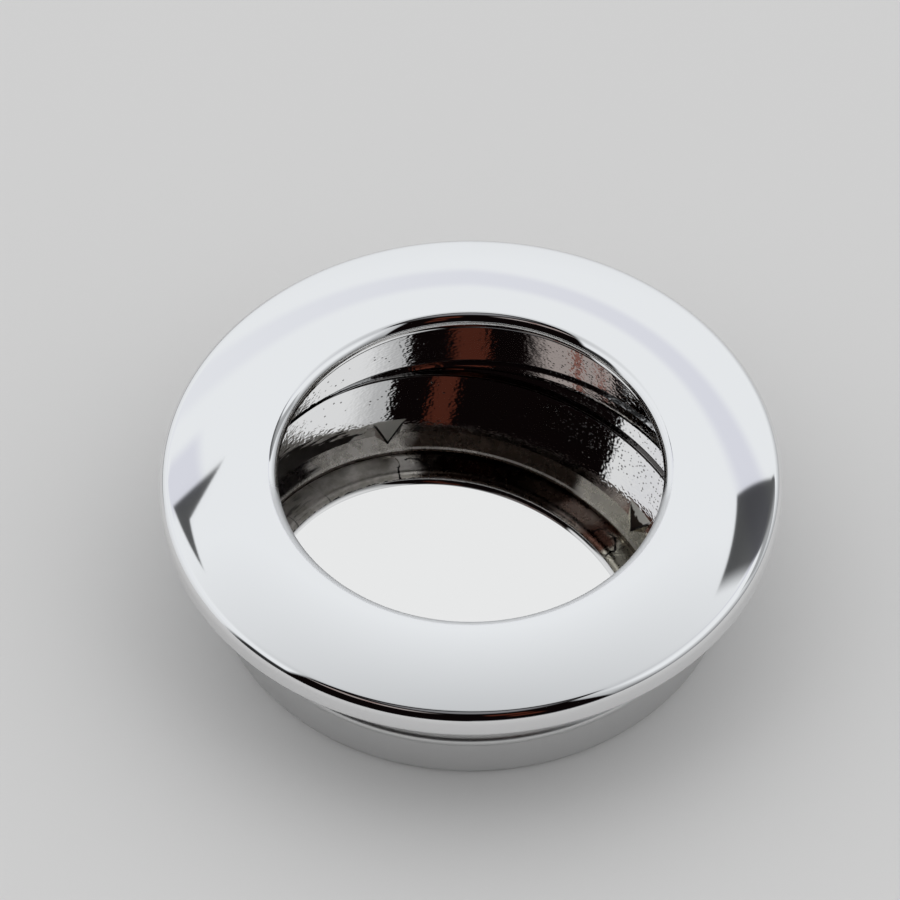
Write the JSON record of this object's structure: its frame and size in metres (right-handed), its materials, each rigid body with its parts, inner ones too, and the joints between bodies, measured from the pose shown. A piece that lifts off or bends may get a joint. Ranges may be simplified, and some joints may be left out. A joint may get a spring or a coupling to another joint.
{
  "type": "recessed pull handle",
  "caption": "Round recessed pull for a sliding door: crowned chrome flange, rolled finger opening, undercut cup with a sloping mirror floor, and a barrel that drops into a bore.",
  "frame": {"origin": "centre of the flat back face, which is the lowest face", "axes": "+Z out through the finger opening, away from the door; +X towards the deep side of the sloping floor"},
  "size_m": [0.05, 0.05, 0.0132],
  "materials": {
    "body_chrome": "polished chrome plate on the flange and lip, satin on the barrel, as-cast plate inside the recess",
    "floor_mirror": "mirror polished, lightly scratched"
  },
  "bodies": {
    "root": {"handle_body": "body_chrome", "back_plate": "floor_mirror"}
  },
  "joints": []
}
